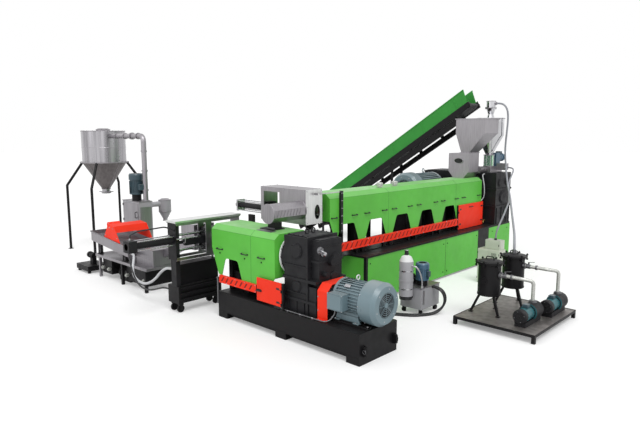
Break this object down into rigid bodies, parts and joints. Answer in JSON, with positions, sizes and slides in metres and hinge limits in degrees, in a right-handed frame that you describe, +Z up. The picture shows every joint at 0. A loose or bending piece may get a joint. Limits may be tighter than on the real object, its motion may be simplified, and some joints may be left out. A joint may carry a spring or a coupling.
{
  "type": "two-stage plastic recycling extruder line",
  "caption": "Two-stage plastic extruder line: feed conveyor, hoppers, two covered screw barrels, screen changers, pelletizer, vibrating screen, dryer and silo.",
  "frame": {"origin": "bottom centre of the whole line without its hoses, on the floor", "axes": "+X along the second extruder towards its motor, +Y along the first extruder towards its gearbox, +Z up"},
  "size_m": [10.98, 8.568, 3.75],
  "materials": {
    "green_paint": "satin",
    "dark_paint": "satin",
    "red_paint": "satin",
    "motor_paint": "satin",
    "blue_paint": "satin",
    "cream_paint": "satin",
    "grey_paint": "satin",
    "dark_casting": "rough",
    "stainless": "brushed",
    "polished_steel": "polished",
    "galvanised": "matt",
    "belt_rubber": "matt",
    "grey_hose": "matt",
    "white_hose": "matt",
    "black_hose": "matt"
  },
  "bodies": {
    "line": {"second_base": "dark_paint", "second_gearbox": "dark_casting", "second_motor": "motor_paint", "second_motor_cowl": "motor_paint", "second_coupling_guard": "red_paint", "second_barrel": "stainless", "second_barrel_cover": "green_paint", "second_side_guard": "red_paint", "transfer_hood": "stainless", "second_screen_changer": "dark_casting", "second_changer_guard": "stainless", "pelletizer_trolley": "dark_paint", "pelletizer_chamber": "stainless", "knife_motor": "blue_paint", "screen_trough": "stainless", "trough_hood": "red_paint", "screen_bench": "stainless", "water_pumps": "dark_paint", "dryer_cabinet": "grey_paint", "dryer_motor": "motor_paint", "dryer_cyclone": "grey_paint", "conveying_pipe": "stainless", "silo_shell": "stainless", "silo_lid": "stainless", "silo_legs": "dark_paint", "first_base": "dark_paint", "first_base_panels": "green_paint", "first_gearbox": "dark_casting", "first_motor": "motor_paint", "first_motor_cowl": "motor_paint", "first_barrel": "stainless", "first_barrel_cover": "green_paint", "first_side_guard": "red_paint", "first_screen_changer": "dark_casting", "first_changer_guard": "stainless", "feed_box": "stainless", "main_hopper": "stainless", "side_hopper": "polished_steel", "side_feeder": "stainless", "feeder_gear_motor": "blue_paint", "vacuum_loader": "polished_steel", "conveyor_guards": "green_paint", "conveyor_belt": "belt_rubber", "conveyor_frame": "dark_paint", "hydraulic_tank": "grey_paint", "accumulator": "grey_paint", "control_cabinet": "cream_paint", "vacuum_platform": "dark_paint", "vacuum_vessels": "dark_paint", "vacuum_pumps": "dark_casting", "vacuum_pipes": "galvanised", "loader_hose": "grey_hose", "feeder_hose": "grey_hose", "trough_hose": "white_hose", "drain_hose": "black_hose", "hydraulic_hose": "black_hose", "return_hose": "black_hose", "oil_hose": "white_hose"},
    "second_door": {"second_guard_door": "red_paint"},
    "first_door": {"first_guard_door": "red_paint"}
  },
  "joints": [
    {"name": "second_door_hinge", "type": "hinge", "parent": "line", "child": "second_door", "pos_m": [2.882, -3.142, 0.61], "axis": [0, 0, 1], "range_deg": [0, 110]},
    {"name": "first_door_hinge", "type": "hinge", "parent": "line", "child": "first_door", "pos_m": [2.558, 2.147, 1.075], "axis": [0, 0, -1], "range_deg": [0, 110]}
  ]
}
